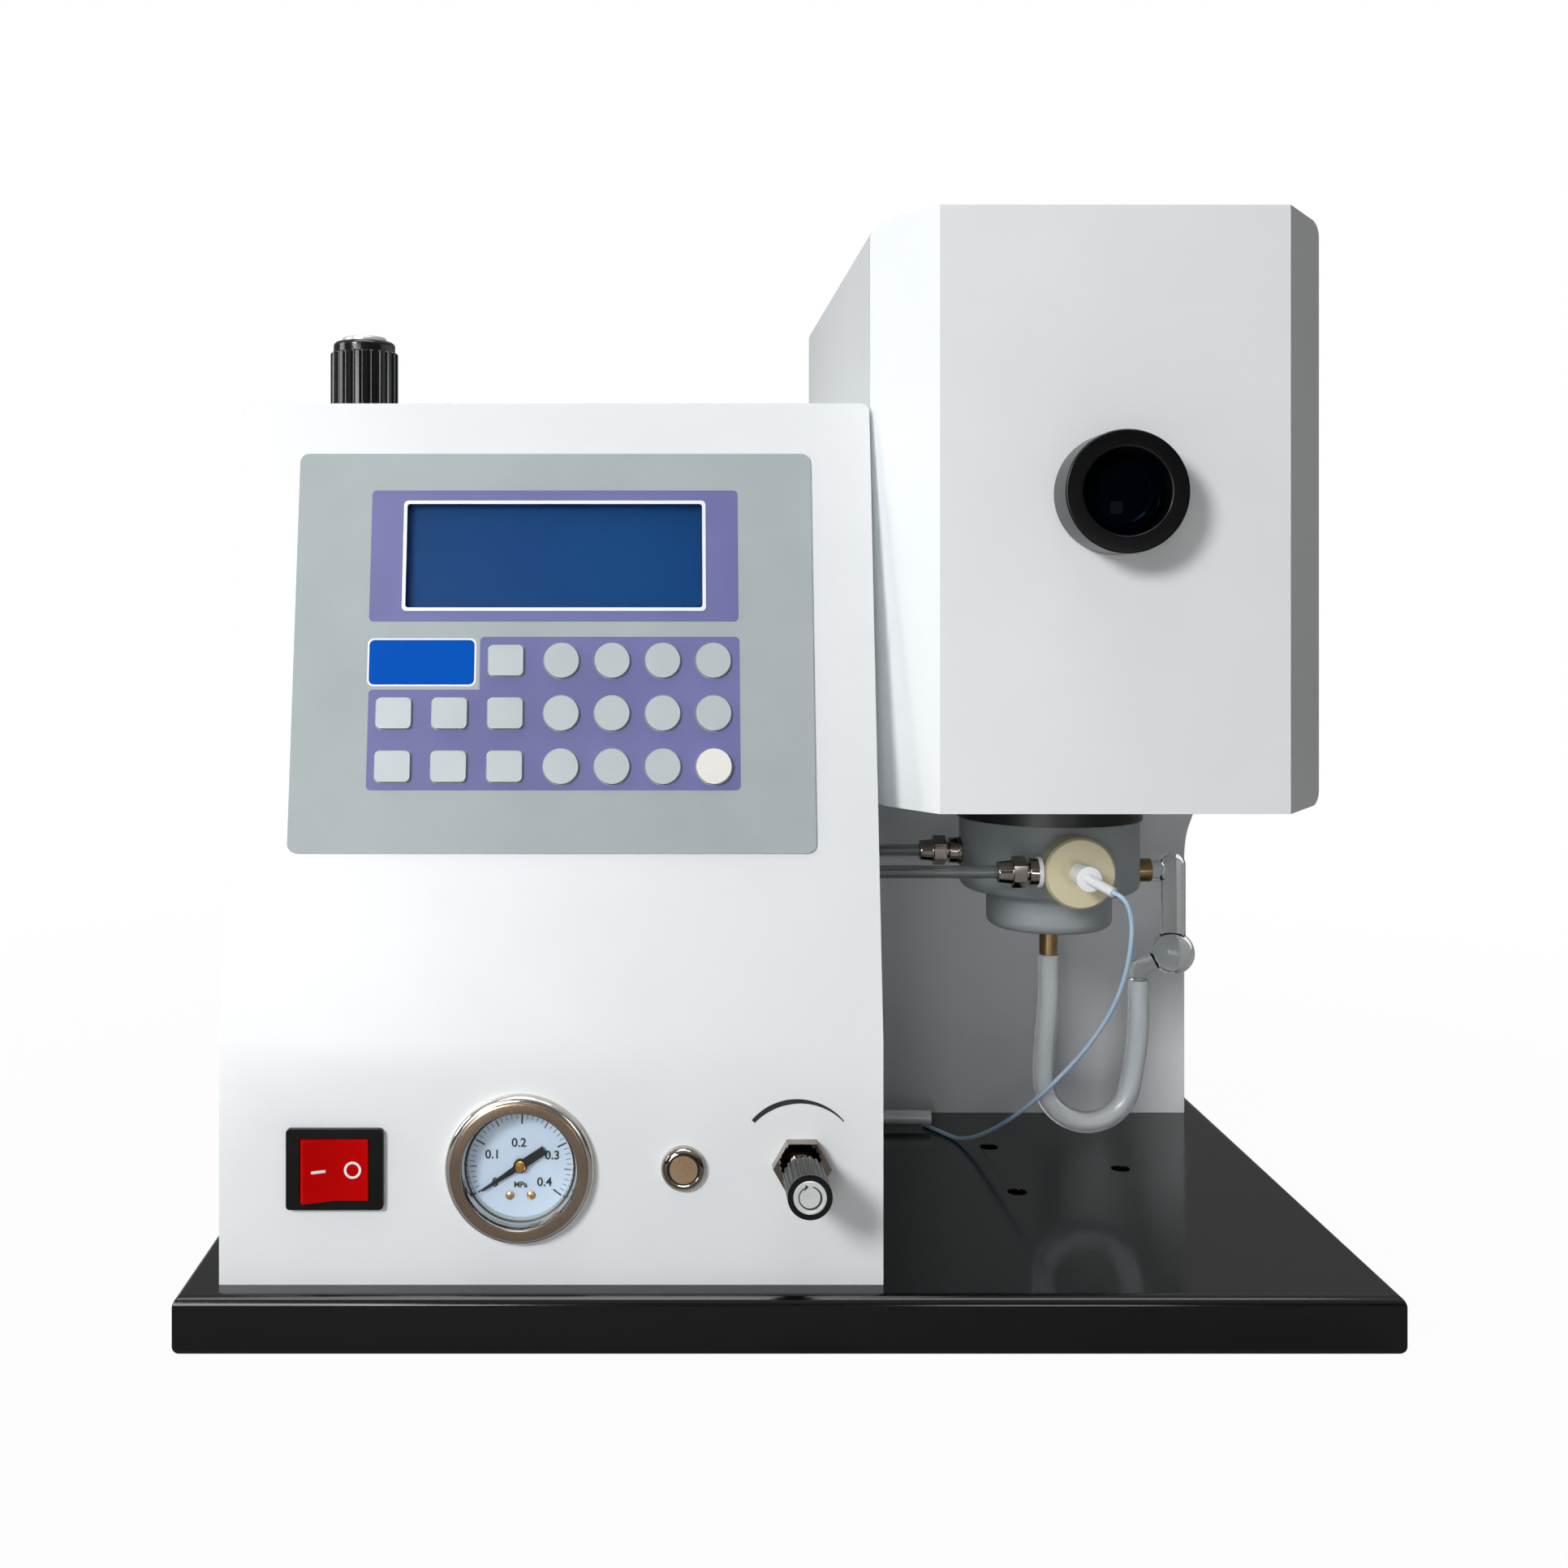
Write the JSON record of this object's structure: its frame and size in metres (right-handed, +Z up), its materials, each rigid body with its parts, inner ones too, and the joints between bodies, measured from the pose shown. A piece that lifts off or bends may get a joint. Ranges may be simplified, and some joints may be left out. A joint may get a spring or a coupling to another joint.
{
  "type": "flame photometer",
  "caption": "Bench flame photometer: keypad cabinet with gauge, valve and switch, beside a burner head on a column over a nebulizer and mixing chamber, on one base tray.",
  "frame": {"origin": "on the bench, under the middle of the machine's length, width and depth, without the hanging tubes", "axes": "+X to the right of a person at the controls, +Y from front to back, +Z up"},
  "size_m": [0.384, 0.3106, 0.3635],
  "materials": {
    "black_enamel": "satin powder coat",
    "foot_rubber": "matt",
    "screw_steel": "turned",
    "white_enamel": "satin powder coat",
    "overlay_film": "fine matt film",
    "window_acrylic": "clear",
    "display_glass": "glossy",
    "board_laminate": "solder mask",
    "black_moulding": "semi-gloss",
    "rocker_red": "glossy",
    "chrome_plate": "polished",
    "dial_enamel": "matt enamel",
    "gauge_crystal": "clear",
    "pointer_black": "matt enamel",
    "button_metal": "polished",
    "knob_black": "glossy",
    "brass_fitting": "turned",
    "eyepiece_black": "semi-gloss",
    "lens_glass": "blue coated",
    "ring_black": "satin",
    "frosted_plastic": "frosted",
    "chimney_steel": "brushed",
    "detector_black": "matt",
    "nebulizer_anodised": "anodised",
    "hub_white": "glossy",
    "sleeve_clear": "clear",
    "capillary_blue": "glossy",
    "fitting_nickel": "dark nickel",
    "hose_smoke": "clear, smoked",
    "drain_silicone": "translucent silicone",
    "trap_glass": "clear",
    "key_grey": "satin",
    "key_white": "satin"
  },
  "bodies": {
    "root": {"base_tray": "black_enamel", "base_feet": "foot_rubber", "housing_screws": "screw_steel", "cabinet_shell": "white_enamel", "rear_panels": "white_enamel", "keypad_overlay": "overlay_film", "display_window": "window_acrylic", "display_module": "display_glass", "circuit_boards": "board_laminate", "switch_housing": "black_moulding", "gauge_case": "chrome_plate", "gauge_dial": "dial_enamel", "gauge_glass": "gauge_crystal", "ignition_bush": "chrome_plate", "valve_body": "screw_steel", "regulator_body": "screw_steel", "power_inlet": "black_moulding", "gas_inlets": "brass_fitting", "head_shell": "white_enamel", "column_shell": "white_enamel", "eyepiece_tube": "eyepiece_black", "eyepiece_lens": "lens_glass", "burner_ring": "ring_black", "mixing_chamber": "frosted_plastic", "burner_head": "brass_fitting", "flame_chimney": "chimney_steel", "detector_block": "detector_black", "nebulizer_body": "nebulizer_anodised", "nebulizer_hub": "hub_white", "capillary_sleeves": "sleeve_clear", "sample_capillary": "capillary_blue", "hose_fittings": "fitting_nickel", "gas_hoses": "hose_smoke", "chamber_nipples": "brass_fitting", "drain_hose": "drain_silicone", "overflow_trap": "trap_glass"},
    "power_rocker": {"power_rocker": "rocker_red"},
    "gauge_pointer": {"gauge_pointer": "pointer_black"},
    "ignition_button": {"ignition_button": "button_metal"},
    "valve_knob": {"valve_knob": "knob_black"},
    "regulator_knob": {"regulator_knob": "knob_black"},
    "round_key_1": {"round_key_1": "key_grey"},
    "round_key_2": {"round_key_2": "key_grey"},
    "round_key_3": {"round_key_3": "key_grey"},
    "round_key_4": {"round_key_4": "key_grey"},
    "round_key_5": {"round_key_5": "key_grey"},
    "round_key_6": {"round_key_6": "key_grey"},
    "round_key_7": {"round_key_7": "key_grey"},
    "round_key_8": {"round_key_8": "key_grey"},
    "round_key_9": {"round_key_9": "key_grey"},
    "round_key_10": {"round_key_10": "key_grey"},
    "round_key_11": {"round_key_11": "key_grey"},
    "round_key_12": {"round_key_12": "key_white"},
    "square_key_1": {"square_key_1": "key_grey"},
    "square_key_2": {"square_key_2": "key_grey"},
    "square_key_3": {"square_key_3": "key_grey"},
    "square_key_4": {"square_key_4": "key_grey"},
    "square_key_5": {"square_key_5": "key_grey"},
    "square_key_6": {"square_key_6": "key_grey"},
    "square_key_7": {"square_key_7": "key_grey"}
  },
  "joints": [
    {"name": "power_rocker_tilt", "type": "hinge", "parent": "root", "child": "power_rocker", "pos_m": [-0.1428, -0.12515, 0.057], "axis": [0, 0, -1], "range_deg": [0, 20]},
    {"name": "gauge_pointer_turn", "type": "hinge", "parent": "root", "child": "gauge_pointer", "pos_m": [-0.0845, -0.12515, 0.057], "axis": [0, 1, 0], "range_deg": [0, 250], "stiffness_Nm_per_rad": 0.0002, "springref_deg": -17.19},
    {"name": "ignition_press", "type": "slide", "parent": "root", "child": "ignition_button", "axis": [0, 1, 0], "range_m": [0, 0.0015], "stiffness_N_per_m": 600, "springref_m": -0.002},
    {"name": "valve_turn", "type": "hinge", "parent": "root", "child": "valve_knob", "pos_m": [0.0044, -0.14465, 0.058], "axis": [0, -1, 0], "range_deg": [-810, 990]},
    {"name": "regulator_turn", "type": "hinge", "parent": "root", "child": "regulator_knob", "pos_m": [-0.1452, -0.05565, 0.31], "axis": [0, 0, -1], "range_deg": [-630, 810]},
    {"name": "round_key_1_press", "type": "slide", "parent": "root", "child": "round_key_1", "axis": [0, 0.986, -0.1668], "range_m": [0, 0.0008], "stiffness_N_per_m": 400, "springref_m": -0.0015},
    {"name": "round_key_2_press", "type": "slide", "parent": "root", "child": "round_key_2", "axis": [0, 0.986, -0.1668], "range_m": [0, 0.0008], "stiffness_N_per_m": 400, "springref_m": -0.0015},
    {"name": "round_key_3_press", "type": "slide", "parent": "root", "child": "round_key_3", "axis": [0, 0.986, -0.1668], "range_m": [0, 0.0008], "stiffness_N_per_m": 400, "springref_m": -0.0015},
    {"name": "round_key_4_press", "type": "slide", "parent": "root", "child": "round_key_4", "axis": [0, 0.986, -0.1668], "range_m": [0, 0.0008], "stiffness_N_per_m": 400, "springref_m": -0.0015},
    {"name": "round_key_5_press", "type": "slide", "parent": "root", "child": "round_key_5", "axis": [0, 0.986, -0.1668], "range_m": [0, 0.0008], "stiffness_N_per_m": 400, "springref_m": -0.0015},
    {"name": "round_key_6_press", "type": "slide", "parent": "root", "child": "round_key_6", "axis": [0, 0.986, -0.1668], "range_m": [0, 0.0008], "stiffness_N_per_m": 400, "springref_m": -0.0015},
    {"name": "round_key_7_press", "type": "slide", "parent": "root", "child": "round_key_7", "axis": [0, 0.986, -0.1668], "range_m": [0, 0.0008], "stiffness_N_per_m": 400, "springref_m": -0.0015},
    {"name": "round_key_8_press", "type": "slide", "parent": "root", "child": "round_key_8", "axis": [0, 0.986, -0.1668], "range_m": [0, 0.0008], "stiffness_N_per_m": 400, "springref_m": -0.0015},
    {"name": "round_key_9_press", "type": "slide", "parent": "root", "child": "round_key_9", "axis": [0, 0.986, -0.1668], "range_m": [0, 0.0008], "stiffness_N_per_m": 400, "springref_m": -0.0015},
    {"name": "round_key_10_press", "type": "slide", "parent": "root", "child": "round_key_10", "axis": [0, 0.986, -0.1668], "range_m": [0, 0.0008], "stiffness_N_per_m": 400, "springref_m": -0.0015},
    {"name": "round_key_11_press", "type": "slide", "parent": "root", "child": "round_key_11", "axis": [0, 0.986, -0.1668], "range_m": [0, 0.0008], "stiffness_N_per_m": 400, "springref_m": -0.0015},
    {"name": "round_key_12_press", "type": "slide", "parent": "root", "child": "round_key_12", "axis": [0, 0.986, -0.1668], "range_m": [0, 0.0008], "stiffness_N_per_m": 400, "springref_m": -0.0015},
    {"name": "square_key_1_press", "type": "slide", "parent": "root", "child": "square_key_1", "axis": [0, 0.986, -0.1668], "range_m": [0, 0.0008], "stiffness_N_per_m": 400, "springref_m": -0.0015},
    {"name": "square_key_2_press", "type": "slide", "parent": "root", "child": "square_key_2", "axis": [0, 0.986, -0.1668], "range_m": [0, 0.0008], "stiffness_N_per_m": 400, "springref_m": -0.0015},
    {"name": "square_key_3_press", "type": "slide", "parent": "root", "child": "square_key_3", "axis": [0, 0.986, -0.1668], "range_m": [0, 0.0008], "stiffness_N_per_m": 400, "springref_m": -0.0015},
    {"name": "square_key_4_press", "type": "slide", "parent": "root", "child": "square_key_4", "axis": [0, 0.986, -0.1668], "range_m": [0, 0.0008], "stiffness_N_per_m": 400, "springref_m": -0.0015},
    {"name": "square_key_5_press", "type": "slide", "parent": "root", "child": "square_key_5", "axis": [0, 0.986, -0.1668], "range_m": [0, 0.0008], "stiffness_N_per_m": 400, "springref_m": -0.0015},
    {"name": "square_key_6_press", "type": "slide", "parent": "root", "child": "square_key_6", "axis": [0, 0.986, -0.1668], "range_m": [0, 0.0008], "stiffness_N_per_m": 400, "springref_m": -0.0015},
    {"name": "square_key_7_press", "type": "slide", "parent": "root", "child": "square_key_7", "axis": [0, 0.986, -0.1668], "range_m": [0, 0.0008], "stiffness_N_per_m": 400, "springref_m": -0.0015}
  ]
}
